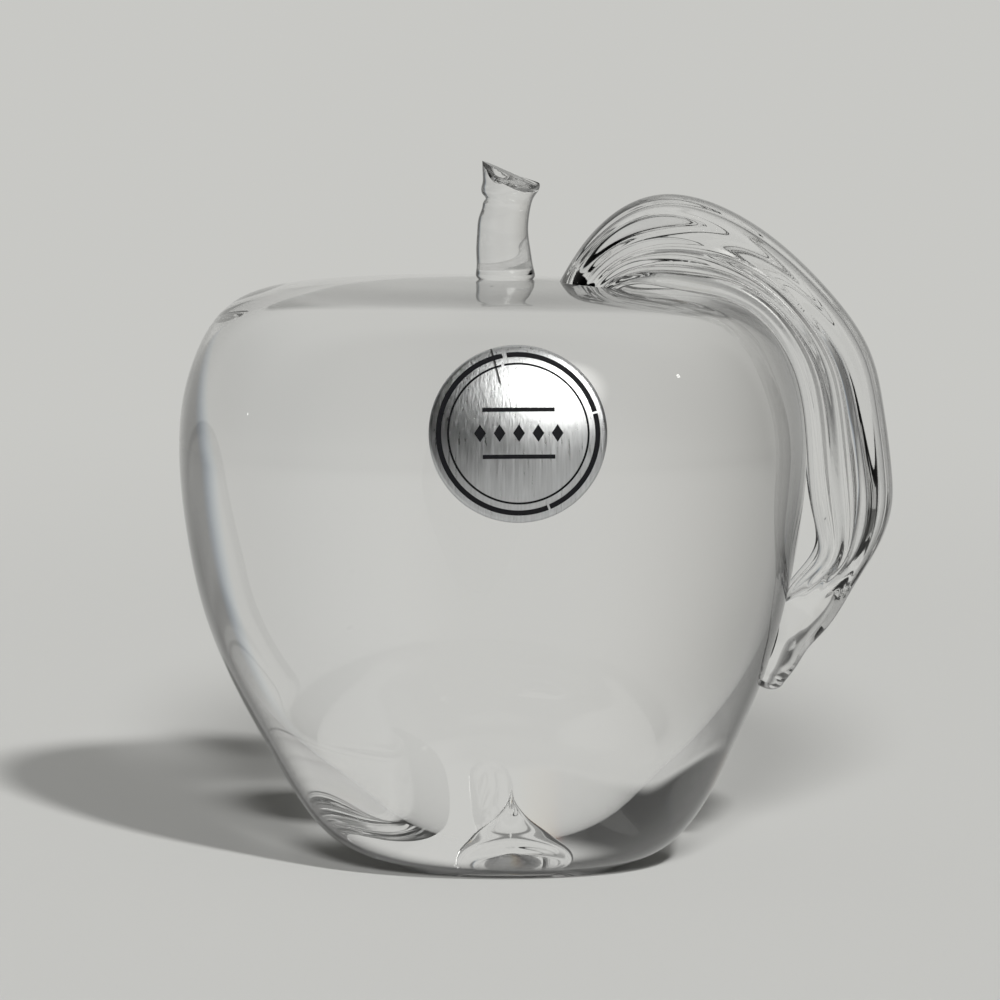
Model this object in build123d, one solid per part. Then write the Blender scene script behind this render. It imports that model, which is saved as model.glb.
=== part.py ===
from build123d import *
import math
import os

# A solid clear crystal apple: a body with a sealed bubble, an applied stem and leaf, and a round foil
# label. Millimetres and degrees. The origin is the middle of the ground base, +Z is up and the label
# faces -Y.

# Body
body_width = 76.0
body_height = 71.5
body_lean = -2.3          # how far the body's middle stands to the side of its base
top_tilt = 1.0            # degrees that the top falls towards the leaf
base_width = 26.0         # the ground flat

# Bubble
bubble_width = 14.2
bubble_height = 11.4
bubble_floor = 4.0        # glass under the bubble
bubble_offset = -0.45     # to the side of the base's middle

# Stem
stem_width = 6.2          # at its waist
stem_foot_width = 7.2
stem_height = 14.35       # from the body's top to the high corner of the torn end
stem_offset = -0.75       # of the foot, to the side of the base's middle
stem_sway = 0.6           # of the torn end, to the side of the foot
tear_drop = 3.2           # from the high corner of the torn end down to its low one
crater_width = 2.9
crater_depth = 1.1

# Leaf
leaf_width = 24.0
leaf_lift = 10.0          # from the leaf's rim out to its crown
leaf_thickness = 7.0      # at the thickest place of its crown
leaf_rim = 1.8            # thickness of its rim
flute_depth = 0.4         # of the grooves along its inner face
flute_count = 6

# Label
label_width = 21.2
label_drop = 15.85        # from the body's top down to its middle
label_azimuth = 4.7       # degrees from the front towards the leaf
label_pitch = 7.0         # degrees that it faces upwards
adhesive_thickness = 0.05
foil_thickness = 0.12
ink_thickness = 0.03
ring_inset = 0.85         # from the label's edge to the outer ring
outer_ring_band = 0.6
ring_gap = 0.7            # between the two rings
inner_ring_band = 0.24
lozenge_count = 5
lozenge_pitch = 2.3
lozenge_width = 1.4
lozenge_height = 2.1
rule_length = 8.6
rule_band = 0.5
rule_spacing = 5.6        # between the two rules, one above the lozenges and one below

# The body's rings from the base up to the widest one: height, radius and lean. The radius goes from the
# base's, at 0, to the widest, at 1.
lower_ring_shares = [
    (0.006, 0.039, 0.04),
    (0.021, 0.167, 0.18),
    (0.057, 0.331, 0.38),
    (0.119, 0.473, 0.47),
    (0.203, 0.603, 0.60),
    (0.308, 0.752, 0.76),
    (0.434, 0.884, 0.95),
    (0.559, 0.960, 1.00),
    (0.685, 1.000, 1.00),
]

# The rings above the widest one. Here the radius goes from that of the stem's foot, at 0, to the widest,
# at 1.
upper_ring_shares = [
    (0.7900, 0.989, 1.00),
    (0.8670, 0.943, 1.00),
    (0.9200, 0.883, 1.00),
    (0.9550, 0.807, 1.00),
    (0.9765, 0.702, 1.00),
    (0.9870, 0.569, 1.00),
    (0.9935, 0.370, 1.00),
    (0.9965, 0.194, 0.60),
    (0.9990, 0.061, 0.35),
]

# The bubble's outline from its floor to its tip: height and radius
bubble_outline_shares = [
    (0.000, 0.000),
    (0.030, 0.520),
    (0.105, 0.860),
    (0.210, 0.980),
    (0.290, 1.000),
    (0.370, 0.970),
    (0.474, 0.785),
    (0.561, 0.534),
    (0.640, 0.343),
    (0.711, 0.201),
    (0.781, 0.113),
    (0.868, 0.043),
    (1.000, 0.000),
]

# The stem's rings above its foot: height, width and sway. The last one stands above the tear.
stem_ring_shares = [
    (0.05, 1.120, -0.10),
    (0.24, 1.065, -0.48),
    (0.40, 1.000, -0.63),
    (0.54, 0.974, -0.30),
    (0.61, 0.945, 0.13),
    (0.70, 1.006, 0.42),
    (0.78, 1.083, 0.92),
    (1.00, 1.110, 1.00),
    (1.12, 1.110, 1.00),
]
crater_place_share = -0.19

# The leaf's sections from its root, inside the body, to its tip. The rim's place is in shares of the
# body's radius and height. Then come the lift, its angle in degrees, the width, the crown's thickness, the
# rim and the depth of the flutes.
leaf_section_shares = [
    (0.225, 0.923, 0.50, 154, 0.40, 0.60, 0.6, 0.0),
    (0.312, 0.990, 0.55, 149, 0.54, 0.66, 0.8, 0.4),
    (0.391, 1.008, 0.73, 127, 0.68, 0.84, 1.0, 1.0),
    (0.475, 1.006, 0.96, 108, 0.80, 0.96, 1.0, 1.0),
    (0.575, 0.998, 1.03, 94, 0.89, 1.00, 1.0, 1.0),
    (0.680, 0.986, 0.87, 74, 0.95, 0.80, 1.0, 1.0),
    (0.778, 0.960, 0.74, 51, 0.99, 0.65, 1.0, 1.0),
    (0.862, 0.912, 0.76, 31, 1.00, 0.58, 1.0, 1.0),
    (0.920, 0.850, 0.86, 16, 1.00, 0.54, 1.0, 1.0),
    (0.950, 0.770, 0.90, 6, 0.98, 0.50, 1.0, 1.0),
    (0.962, 0.685, 0.95, -4, 0.93, 0.44, 1.0, 1.0),
    (0.982, 0.601, 0.83, -8, 0.80, 0.36, 1.0, 1.0),
    (0.990, 0.540, 0.58, -16, 0.55, 0.32, 0.9, 0.8),
    (0.912, 0.488, 0.64, -17, 0.33, 0.58, 0.6, 0.3),
    (0.866, 0.450, 0.62, -26, 0.30, 0.88, 0.6, 0.0),
    (0.832, 0.405, 0.49, -28, 0.31, 0.70, 0.6, 0.0),
    (0.807, 0.361, 0.40, -25, 0.30, 0.57, 0.6, 0.0),
    (0.795, 0.336, 0.32, -27, 0.22, 0.45, 0.6, 0.0),
]


def apple_shape(growth=0.0):
    """The body's outside without its bubble, grown outwards by a length."""
    base_radius = base_width / 2
    widest_radius = body_width / 2
    seat_radius = stem_foot_width / 2
    rings = [
        (height_share, base_radius + (widest_radius - base_radius) * radius_share, lean_share)
        for height_share, radius_share, lean_share in lower_ring_shares
    ]
    rings += [
        (height_share, seat_radius + (widest_radius - seat_radius) * radius_share, lean_share)
        for height_share, radius_share, lean_share in upper_ring_shares
    ]
    widest_share = lower_ring_shares[-1][0]

    sections = [Circle(base_radius + growth).face()]
    for height_share, radius, lean_share in rings:
        rise = max(0.0, height_share - widest_share) / (1 - widest_share)
        tilt = math.radians(top_tilt * rise)
        plane = Plane(
            origin=(body_lean * lean_share, 0, body_height * height_share),
            x_dir=(math.cos(tilt), 0, -math.sin(tilt)),
            z_dir=(math.sin(tilt), 0, math.cos(tilt)),
        )
        sections.append((plane * Circle(radius + growth)).face())
    sections.append((Pos(stem_offset, 0, body_height) * Circle(seat_radius + growth)).face())
    return loft(sections)


def bubble():
    """The sealed air bubble: round below and drawn out to a tip above."""
    points = [
        (bubble_width / 2 * radius_share, 0, bubble_floor + bubble_height * height_share)
        for height_share, radius_share in bubble_outline_shares
    ]
    outline = Wire([Spline(*points), Line(points[-1], points[0])])
    return Pos(bubble_offset, 0, 0) * revolve(Face(outline), axis=Axis.Z)


def stem():
    """The applied stem, torn off at a slant, with a crater in the high side of the torn end."""
    sections = [(Pos(stem_offset, 0, body_height) * Circle(stem_foot_width / 2)).face()]
    for height_share, width_share, sway_share in stem_ring_shares:
        place = Pos(stem_offset + stem_sway * sway_share, 0, body_height + stem_height * height_share)
        sections.append((place * Circle(stem_width / 2 * width_share)).face())
    rod = loft(sections)

    end_width = stem_width * stem_ring_shares[-1][1]
    slope = math.atan2(tear_drop, end_width)
    tear = Plane(
        origin=(stem_offset + stem_sway, 0, body_height + stem_height - tear_drop / 2),
        x_dir=(math.cos(slope), 0, -math.sin(slope)),
        z_dir=(math.sin(slope), 0, math.cos(slope)),
    )
    torn = split(rod, bisect_by=tear, keep=Keep.BOTTOM)

    crater_radius = ((crater_width / 2) ** 2 + crater_depth**2) / (2 * crater_depth)
    crater_middle = Pos(end_width * crater_place_share, 0, crater_radius - crater_depth)
    return torn - tear * crater_middle * Sphere(crater_radius)


def leaf_section(row):
    """One closed section of the leaf: a crowned outer side and an inner side with flutes."""
    rim_x_share, rim_z_share, lift_share, angle, width_share, crown_share, rim_share, flute_share = row
    lift = leaf_lift * lift_share
    half_width = leaf_width / 2 * width_share
    thickness = leaf_thickness * crown_share
    rim = leaf_rim * rim_share
    outward = (math.cos(math.radians(angle)), math.sin(math.radians(angle)))
    crown_x = body_width / 2 * rim_x_share + lift * outward[0]
    crown_z = body_height * rim_z_share + lift * outward[1]
    plane = Plane(
        origin=(crown_x, 0, crown_z),
        x_dir=(0, 1, 0),
        z_dir=(-outward[1], 0, outward[0]),
    )

    inner_half = half_width - rim
    inner_side = []
    for i in range(2 * flute_count + 1):
        turn = math.pi * (1 / 2 - i / (2 * flute_count))
        groove = flute_depth * flute_share * (-1) ** i * math.cos(turn)
        depth = thickness + (lift - thickness) * (1 - math.cos(turn)) - groove
        inner_side.append((inner_half * math.sin(turn), depth))
    rim_middle = half_width - rim / 2
    rim_out = lift + rim / 2
    outline = Wire(
        [
            EllipticalCenterArc((0, lift), half_width, lift, start_angle=180, arc_size=180),
            ThreePointArc((half_width, lift), (rim_middle, rim_out), (inner_half, lift)),
            Spline(*inner_side),
            ThreePointArc((-inner_half, lift), (-rim_middle, rim_out), (-half_width, lift)),
        ]
    )
    return plane * Face(outline)


def leaf(body):
    """The applied leaf, cut to sit on the body at its root and its tip."""
    blade = loft([leaf_section(row) for row in leaf_section_shares])
    return blade - body


def label_plane():
    """The plane that touches the body at the label's middle."""
    azimuth = math.radians(label_azimuth)
    pitch = math.radians(label_pitch)
    touch = (
        body_lean + body_width / 2 * math.sin(azimuth),
        -body_width / 2 * math.cos(azimuth),
        body_height - label_drop,
    )
    across = (math.cos(azimuth), math.sin(azimuth), 0)
    facing = (
        math.sin(azimuth) * math.cos(pitch),
        -math.cos(azimuth) * math.cos(pitch),
        math.sin(pitch),
    )
    return Plane(origin=touch, x_dir=across, z_dir=facing)


def label_layer(outline, inner, outer):
    """A layer of the label that follows the body, between two grown copies of the body."""
    reach = body_width / 4
    block = extrude(label_plane() * outline, amount=reach, both=True)
    return (outer & block) - inner


def ring(width, band):
    """A flat ring, by its outer width."""
    return Circle(width / 2) - Circle(width / 2 - band)


def lozenge():
    """One upright lozenge of the label's motif."""
    return Polygon(
        (lozenge_width / 2, 0),
        (0, lozenge_height / 2),
        (-lozenge_width / 2, 0),
        (0, -lozenge_height / 2),
    )


def motif():
    """A row of lozenges between two plain rules."""
    first = -lozenge_pitch * (lozenge_count - 1) / 2
    marks = [Pos(first + lozenge_pitch * i, 0) * lozenge() for i in range(lozenge_count)]
    for side in (-1, 1):
        marks.append(Pos(0, side * rule_spacing / 2) * Rectangle(rule_length, rule_band))
    return marks


def label():
    """The label's layers: adhesive, foil, two printed rings and the printed motif."""
    bare = apple_shape()
    over_adhesive = apple_shape(adhesive_thickness)
    over_foil = apple_shape(adhesive_thickness + foil_thickness)
    over_ink = apple_shape(adhesive_thickness + foil_thickness + ink_thickness)
    disc = Circle(label_width / 2)
    outer_ring_width = label_width - 2 * ring_inset
    inner_ring_width = outer_ring_width - 2 * (outer_ring_band + ring_gap)
    marks = [label_layer(mark, over_foil, over_ink) for mark in motif()]
    return {
        "label_adhesive": label_layer(disc, bare, over_adhesive),
        "label_foil": label_layer(disc, over_adhesive, over_foil),
        "label_outer_ring": label_layer(ring(outer_ring_width, outer_ring_band), over_foil, over_ink),
        "label_inner_ring": label_layer(ring(inner_ring_width, inner_ring_band), over_foil, over_ink),
        "label_motif": Compound(children=[solid for mark in marks for solid in mark.solids()]),
    }


def main():
    outside = apple_shape()
    nodes = {
        "apple_body": outside - bubble(),
        "stem": stem(),
        "leaf": leaf(outside),
    }
    nodes.update(label())
    os.makedirs("parts", exist_ok=True)
    for name, node in nodes.items():
        export_step(node, f"parts/{name}.step")


main()
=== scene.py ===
"""A solid clear crystal apple with a sealed bubble, a torn stem, an arched leaf and a round foil label.

Metres and degrees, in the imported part's own frame: the origin is the middle of the ground base, +Z is up and the
label faces -Y.
"""

import math

import bmesh
import bpy
import numpy as np
from bpy.props import FloatProperty, FloatVectorProperty, IntProperty, PointerProperty
from bpy.types import Operator, Panel, PropertyGroup
from mathutils import Matrix, Vector
from mathutils.bvhtree import BVHTree


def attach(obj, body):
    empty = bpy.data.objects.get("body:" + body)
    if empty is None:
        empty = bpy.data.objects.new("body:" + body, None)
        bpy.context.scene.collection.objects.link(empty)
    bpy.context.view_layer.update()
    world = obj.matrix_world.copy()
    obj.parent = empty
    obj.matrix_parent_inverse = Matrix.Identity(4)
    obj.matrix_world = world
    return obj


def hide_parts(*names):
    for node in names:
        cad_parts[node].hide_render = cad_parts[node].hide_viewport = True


bl_info = {
    "name": "Crystal Apple",
    "version": (1, 0, 0),
    "blender": (4, 5, 0),
    "location": "View3D > Sidebar > Crystal Apple",
    "description": "Builds a clear crystal apple with a sealed bubble, a stem, a leaf and a foil label",
    "category": "Object",
}

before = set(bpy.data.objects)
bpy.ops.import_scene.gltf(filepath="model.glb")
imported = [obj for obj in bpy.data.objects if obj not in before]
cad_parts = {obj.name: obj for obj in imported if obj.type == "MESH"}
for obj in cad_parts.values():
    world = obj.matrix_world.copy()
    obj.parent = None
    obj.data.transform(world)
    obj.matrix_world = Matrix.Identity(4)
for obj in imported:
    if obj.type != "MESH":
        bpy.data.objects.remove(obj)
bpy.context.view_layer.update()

# The body's rings from the base up to the widest one: height, radius and lean. The radius goes from the base's, at 0,
# to the widest, at 1. Above, it goes from the widest down to that of the stem's foot, at 0.
LOWER_RING_SHARES = [
    (0.006, 0.039, 0.04),
    (0.021, 0.167, 0.18),
    (0.057, 0.331, 0.38),
    (0.119, 0.473, 0.47),
    (0.203, 0.603, 0.60),
    (0.308, 0.752, 0.76),
    (0.434, 0.884, 0.95),
    (0.559, 0.960, 1.00),
    (0.685, 1.000, 1.00),
]
UPPER_RING_SHARES = [
    (0.7900, 0.989, 1.00),
    (0.8670, 0.943, 1.00),
    (0.9200, 0.883, 1.00),
    (0.9550, 0.807, 1.00),
    (0.9765, 0.702, 1.00),
    (0.9870, 0.569, 1.00),
    (0.9935, 0.370, 1.00),
    (0.9965, 0.194, 0.60),
    (0.9990, 0.061, 0.35),
]

# How finely the body and its bubble are turned: rows up their outlines and steps round
BODY_ROWS, BODY_STEPS = 170, 224
BUBBLE_ROWS, BUBBLE_STEPS = 72, 96
# Points nearer to each other than this, in metres, are one
MERGE_GAP = 1e-7
# Points lower than this, in metres, lie on the ground flat
FLAT_GAP = 1e-6

# The bubble's outline from its floor to its tip: height and radius
BUBBLE_SHARES = [
    (0.000, 0.000),
    (0.030, 0.520),
    (0.105, 0.860),
    (0.210, 0.980),
    (0.290, 1.000),
    (0.370, 0.970),
    (0.474, 0.785),
    (0.561, 0.534),
    (0.640, 0.343),
    (0.711, 0.201),
    (0.781, 0.113),
    (0.868, 0.043),
    (1.000, 0.000),
]

# The stem's rings above its foot: height, width and sway
STEM_RING_SHARES = [
    (-0.04, 0.980, 0.00),
    (0.00, 1.060, 0.00),
    (0.025, 1.150, -0.05),
    (0.07, 1.140, -0.12),
    (0.24, 1.065, -0.48),
    (0.40, 1.000, -0.63),
    (0.54, 0.974, -0.30),
    (0.61, 0.945, 0.13),
    (0.70, 1.006, 0.42),
    (0.78, 1.083, 0.92),
    (1.00, 1.110, 1.00),
    (1.12, 1.110, 1.00),
]
# How finely the stem is turned: rows up it and steps round
STEM_ROWS, STEM_STEPS = 60, 64
# The dents in the stem's left side: how high each is, its half height and its depth in pinch depths
STEM_DENTS = [(0.69, 0.028, 1.0), (0.78, 0.05, -0.4)]
# From this share of its height up, the stem takes on the slope of its torn end
TEAR_FROM = 0.5
# The crater's place across the torn end, and the rings from the end's rim in to its middle
CRATER_PLACE_SHARE = -0.19
CRATER_RING_SHARES = (0.93, 0.8, 0.65, 0.55, 0.5, 0.45, 0.4, 0.33, 0.25, 0.17, 0.09)

# The leaf's sections from its root, inside the body, to its tip. The rim's place is in shares of the body's radius and
# height. Then come the lift, its angle in degrees, the width, the crown's thickness, the rim and the flutes' depth.
LEAF_SECTION_SHARES = [
    (0.225, 0.923, 0.50, 154, 0.40, 0.60, 0.6, 0.0),
    (0.312, 0.990, 0.55, 149, 0.54, 0.66, 0.8, 0.4),
    (0.391, 1.008, 0.73, 127, 0.68, 0.84, 1.0, 1.0),
    (0.475, 1.006, 0.96, 108, 0.80, 0.96, 1.0, 1.0),
    (0.575, 0.998, 1.03, 94, 0.89, 1.00, 1.0, 1.0),
    (0.680, 0.986, 0.87, 74, 0.95, 0.80, 1.0, 1.0),
    (0.778, 0.960, 0.74, 51, 0.99, 0.65, 1.0, 1.0),
    (0.862, 0.912, 0.76, 31, 1.00, 0.58, 1.0, 1.0),
    (0.920, 0.850, 0.86, 16, 1.00, 0.54, 1.0, 1.0),
    (0.950, 0.770, 0.90, 6, 0.98, 0.50, 1.0, 1.0),
    (0.962, 0.685, 0.95, -4, 0.93, 0.44, 1.0, 1.0),
    (0.982, 0.601, 0.83, -8, 0.80, 0.36, 1.0, 1.0),
    (0.990, 0.540, 0.58, -16, 0.55, 0.32, 0.9, 0.8),
    (0.912, 0.488, 0.64, -17, 0.33, 0.58, 0.6, 0.3),
    (0.866, 0.450, 0.62, -26, 0.30, 0.88, 0.6, 0.0),
    (0.832, 0.405, 0.49, -28, 0.31, 0.70, 0.6, 0.0),
    (0.807, 0.361, 0.40, -25, 0.30, 0.57, 0.6, 0.0),
    (0.795, 0.336, 0.32, -27, 0.22, 0.45, 0.6, 0.0),
]


def length(name, text, default):
    """A length that shows in the scene's own unit."""
    return FloatProperty(name=name, description=text, default=default, unit="LENGTH", subtype="DISTANCE")


def angle(name, text, degrees):
    """An angle, given here in degrees."""
    return FloatProperty(name=name, description=text, default=math.radians(degrees), unit="ROTATION", subtype="ANGLE")


def colour(name, text, default):
    """A colour."""
    return FloatVectorProperty(name=name, description=text, default=default, size=3, min=0, max=1, subtype="COLOR")


def amount(name, text, default):
    """A plain number that isn't below zero."""
    return FloatProperty(name=name, description=text, default=default, min=0)


class BodySettings(PropertyGroup):
    width: length("Width", "Across the body at its widest", 0.0760)
    height: length("Height", "From the base to the stem's foot", 0.0715)
    base_width: length("Base width", "Across the ground flat", 0.0260)
    lean: length("Lean", "How far the body's middle stands to the side of its base", -0.0023)
    top_tilt: angle("Top tilt", "How far the top falls towards the leaf", 1.0)
    bubble_width: length("Bubble width", "Across the sealed bubble", 0.0142)
    bubble_height: length("Bubble height", "From the bubble's floor to its tip", 0.0114)
    bubble_floor: length("Bubble floor", "Glass under the bubble", 0.0040)
    bubble_offset: length("Bubble offset", "To the side of the base's middle", -0.00045)


class StemSettings(PropertyGroup):
    width: length("Width", "Across the stem at its waist", 0.0062)
    foot_width: length("Foot width", "Across the stem's foot", 0.0072)
    height: length("Height", "From the foot to the high corner of the torn end", 0.01435)
    offset: length("Offset", "Of the foot, to the side of the base's middle", -0.00075)
    sway: length("Sway", "Of the torn end, to the side of the foot", 0.0006)
    tear_drop: length("Tear drop", "From the high corner of the torn end down to its low one", 0.0032)
    tear_lean: amount("Tear lean", "Slope of the torn end to the front", 0.42)
    crater_width: length("Crater width", "Across the crater in the torn end", 0.0029)
    crater_depth: length("Crater depth", "Depth of the crater in the torn end", 0.0013)
    pinch_depth: length("Pinch depth", "Depth of the pinch below the torn end", 0.00045)


class LeafSettings(PropertyGroup):
    width: length("Width", "Across the leaf at its widest", 0.0240)
    lift: length("Lift", "From the leaf's rim out to its crown", 0.0100)
    thickness: length("Thickness", "At the thickest place of the crown", 0.0070)
    rim: length("Rim", "Thickness of the leaf's rim", 0.0018)
    flute_depth: length("Flute depth", "Of the grooves along the inner face", 0.0007)
    flute_count: IntProperty(name="Flutes", description="Grooves along the inner face", default=6, min=0)


class LabelSettings(PropertyGroup):
    width: length("Width", "Across the label", 0.0212)
    drop: length("Drop", "From the body's top down to the label's middle", 0.01585)
    azimuth: angle("Azimuth", "From the front towards the leaf", 4.7)
    pitch: angle("Pitch", "How far the label faces upwards", 7.0)
    adhesive: length("Adhesive", "Thickness of the adhesive", 0.00005)
    foil: length("Foil", "Thickness of the foil", 0.00012)
    ink: length("Ink", "Thickness of the print", 0.00003)
    ring_inset: length("Ring inset", "From the label's edge to the outer ring", 0.00085)
    outer_ring_band: length("Outer ring", "Width of the outer ring's line", 0.0006)
    ring_gap: length("Ring gap", "Between the two rings", 0.0007)
    inner_ring_band: length("Inner ring", "Width of the inner ring's line", 0.00024)
    lozenge_count: IntProperty(name="Lozenges", description="Lozenges in the row", default=5, min=1)
    lozenge_pitch: length("Lozenge pitch", "From one lozenge to the next", 0.0023)
    lozenge_width: length("Lozenge width", "Across one lozenge", 0.0014)
    lozenge_height: length("Lozenge height", "Height of one lozenge", 0.0021)
    rule_length: length("Rule length", "Length of the rules above and below the row", 0.0086)
    rule_band: length("Rule", "Width of a rule's line", 0.0005)
    rule_spacing: length("Rule spacing", "Between the two rules", 0.0056)
    foil_colour: colour("Foil colour", "The brushed foil", (0.86, 0.87, 0.89))
    ink_colour: colour("Ink colour", "The print", (0.003, 0.003, 0.0035))
    adhesive_colour: colour("Adhesive colour", "The adhesive under the foil", (0.55, 0.55, 0.53))


class StageSettings(PropertyGroup):
    backdrop: colour("Backdrop", "The pale room behind the object", (0.578, 0.578, 0.556))
    floor: colour("Floor", "The pale paper under the object", (0.62, 0.62, 0.60))
    ambient: amount("Ambient", "Of the room's light on matt surfaces", 0.18)
    leaf_side: amount("Leaf side", "How dark the room is on the leaf's side", 0.75)
    other_side: amount("Other side", "How dark it is on the other side", 0.45)
    high: amount("High", "How dark it is high up in the front left", 0.93)
    gloss_left: amount("Gloss left", "How pale the front left of the room is in gloss", 0.0)
    gloss_right: amount("Gloss right", "The same on the right", 0.45)
    floor_radius: length("Floor radius", "Radius of the paper", 6.0)
    floor_near: length("Floor near", "How far out the paper takes the lamps' light", 0.32)
    floor_far: length("Floor far", "Where the paper has faded into the backdrop", 0.75)
    glass_near: length("Glass near", "How far out the glass shows the lit paper", 0.056)
    glass_far: length("Glass far", "From where the glass shows the plain backdrop instead", 0.066)
    glass_floor: amount("Glass floor", "How pale the backdrop is where the glass first shows it", 0.94)
    key_strength: amount("Key", "Strength of the key lamp", 3.5)
    key_azimuth: angle("Key azimuth", "From the camera towards the leaf", 13)
    key_elevation: angle("Key elevation", "Above the horizon", 26)
    key_size: angle("Key size", "Across the key lamp, seen from the object", 3)
    fill_strength: amount("Fill", "Strength of the fill lamp", 3.35)
    fill_azimuth: angle("Fill azimuth", "From the camera towards the leaf", 1)
    fill_elevation: angle("Fill elevation", "Above the horizon", 16.5)
    fill_size: angle("Fill size", "Across the fill lamp, seen from the object", 7)
    camera_distance: length("Camera distance", "From the object to the camera", 1.8)
    camera_elevation: angle("Camera elevation", "Above the horizon", 4.5)
    focal_length: amount("Focal length", "In millimetres", 534.6)


def smooth_rows(rows, count, place=2):
    """Rows evenly spaced on a natural cubic curve through the given rows, whose first numbers are the place."""
    values = np.array(rows, float)
    gaps = np.linalg.norm(np.diff(values[:, :place], axis=0), axis=1)
    stops = np.concatenate(([0.0], np.cumsum(gaps)))
    last = len(values) - 1
    system = np.eye(last + 1)
    right = np.zeros_like(values)
    for i in range(1, last):
        before, after = gaps[i - 1], gaps[i]
        system[i, i - 1 : i + 2] = before, 2 * (before + after), after
        right[i] = 6 * ((values[i + 1] - values[i]) / after - (values[i] - values[i - 1]) / before)
    bend = np.linalg.solve(system, right)
    wanted = np.linspace(0, stops[-1], count)
    k = np.clip(np.searchsorted(stops, wanted, side="right") - 1, 0, last - 1)
    gap = gaps[k][:, None]
    t = (wanted[:, None] - stops[k][:, None]) / gap
    s = 1 - t
    bow = ((s**3 - s) * bend[k] + (t**3 - t) * bend[k + 1]) * gap**2 / 6
    return s * values[k] + t * values[k + 1] + bow


def swell(value, middle, half):
    """One at the middle, falling softly to near zero beyond half on either side."""
    return math.exp(-(((value - middle) / half) ** 2))


def aim(azimuth, elevation):
    """The direction out from the object. The azimuth is from the front towards the leaf."""
    level = math.cos(elevation)
    return Vector((math.sin(azimuth) * level, -math.cos(azimuth) * level, math.sin(elevation)))


def spin_profile(bm, points, steps, middle=(0, 0)):
    """Turns a line of (radius, height) points round an upright axis, and closes its poles."""
    x, y = middle
    verts = [bm.verts.new((x + radius, y, height)) for radius, height in points]
    edges = [bm.edges.new(pair) for pair in zip(verts, verts[1:])]
    bmesh.ops.spin(
        bm, geom=verts + edges, cent=(x, y, 0), axis=(0, 0, 1), angle=2 * math.pi, steps=steps, use_merge=True
    )


def close_and_face_out(bm):
    """Merges doubled points and turns every face outwards."""
    bmesh.ops.remove_doubles(bm, verts=bm.verts, dist=MERGE_GAP)
    bmesh.ops.recalc_face_normals(bm, faces=bm.faces)


def loft(bm, rings):
    """A tube through closed rings of points: each ring is extruded from the one before and moved into its place."""
    verts = [bm.verts.new(point) for point in rings[0]]
    edges = [bm.edges.new((verts[i - 1], verts[i])) for i in range(len(verts))]
    first = list(verts)
    for ring in rings[1:]:
        made = bmesh.ops.extrude_edge_only(bm, edges=edges)["geom"]
        edges = [item for item in made if isinstance(item, bmesh.types.BMEdge)]
        where = {tuple(vert.co): i for i, vert in enumerate(verts)}
        placed = [None] * len(verts)
        for item in made:
            if isinstance(item, bmesh.types.BMVert):
                placed[where[tuple(item.co)]] = item
        for vert, point in zip(placed, ring):
            vert.co = point
        verts = placed
    return first, verts


def cap(bm, verts):
    """Closes an open end."""
    bmesh.ops.contextual_create(bm, geom=verts)


def piece(bm, name, material, nodes, smooth=True):
    """Makes an object of the mesh, in the place of the CAD nodes that it stands for."""
    mesh = bpy.data.meshes.new(name)
    for face in bm.faces:
        face.smooth = smooth
    bm.to_mesh(mesh)
    bm.free()
    mesh.materials.append(material)
    obj = bpy.data.objects.new(name, mesh)
    bpy.context.scene.collection.objects.link(obj)
    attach(obj, "root")
    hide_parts(*nodes)
    return obj


def set_inputs(node, constants):
    """Sets plain values on a node's inputs."""
    for name, value in constants.items():
        node.inputs[name].default_value = value


def new_material(name, constants):
    """A material and its Principled shader, with its constants set."""
    material = bpy.data.materials.new(name)
    material.use_nodes = True
    shader = material.node_tree.nodes["Principled BSDF"]
    set_inputs(shader, constants)
    return material, material.node_tree, shader


def worked_out(tree, kind, operation, values):
    """The outputs of a node that does sums on sockets or plain values."""
    node = tree.nodes.new(kind)
    node.operation = operation
    for socket, value in zip(node.inputs, values):
        if isinstance(value, bpy.types.NodeSocket):
            tree.links.new(value, socket)
        else:
            socket.default_value = value
    return node.outputs


def maths(tree, operation, *values):
    """A sum on numbers."""
    return worked_out(tree, "ShaderNodeMath", operation, values)[0]


def vector_maths(tree, operation, *values):
    """A sum on vectors: its outputs are a vector and a number."""
    return worked_out(tree, "ShaderNodeVectorMath", operation, values)


def times(tree, *values):
    """The product of sockets or numbers."""
    total = values[0]
    for value in values[1:]:
        total = maths(tree, "MULTIPLY", total, value)
    return total


def axes_of(tree, vector):
    """The three parts of a vector."""
    node = tree.nodes.new("ShaderNodeSeparateXYZ")
    tree.links.new(vector, node.inputs[0])
    return node.outputs


def ramp(tree, value, low, high, start=0.0, end=1.0, kind="SMOOTHSTEP"):
    """A step from start, at low, to end, at high. It is soft unless another kind is given."""
    node = tree.nodes.new("ShaderNodeMapRange")
    node.interpolation_type = kind
    tree.links.new(value, node.inputs["Value"])
    set_inputs(node, {"From Min": low, "From Max": high, "To Min": start, "To Max": end})
    return node.outputs["Result"]


def blend_colours(tree, factor, first, second):
    """A mix of two colours, each a socket or a plain value."""
    node = tree.nodes.new("ShaderNodeMix")
    node.data_type = "RGBA"
    tree.links.new(factor, node.inputs["Factor"])
    for socket, value in ((node.inputs[6], first), (node.inputs[7], second)):
        if isinstance(value, bpy.types.NodeSocket):
            tree.links.new(value, socket)
        else:
            socket.default_value = (*value, 1)
    return node.outputs[2]


# The glass lets the lamps through in its middle: where that begins and ends across it and up it, in metres, and then
# how much of the light passes before and after
SHADOW_LEFT = (-0.029, -0.016)
SHADOW_RIGHT = (0.021, 0.030, 1.0, 0.2)
SHADOW_FOOT = (0.004, 0.012)
SHADOW_TOP = (0.066, 0.071, 0.95, 0.4)
# The refractive index of full lead crystal
CRYSTAL_IOR = 1.545
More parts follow.
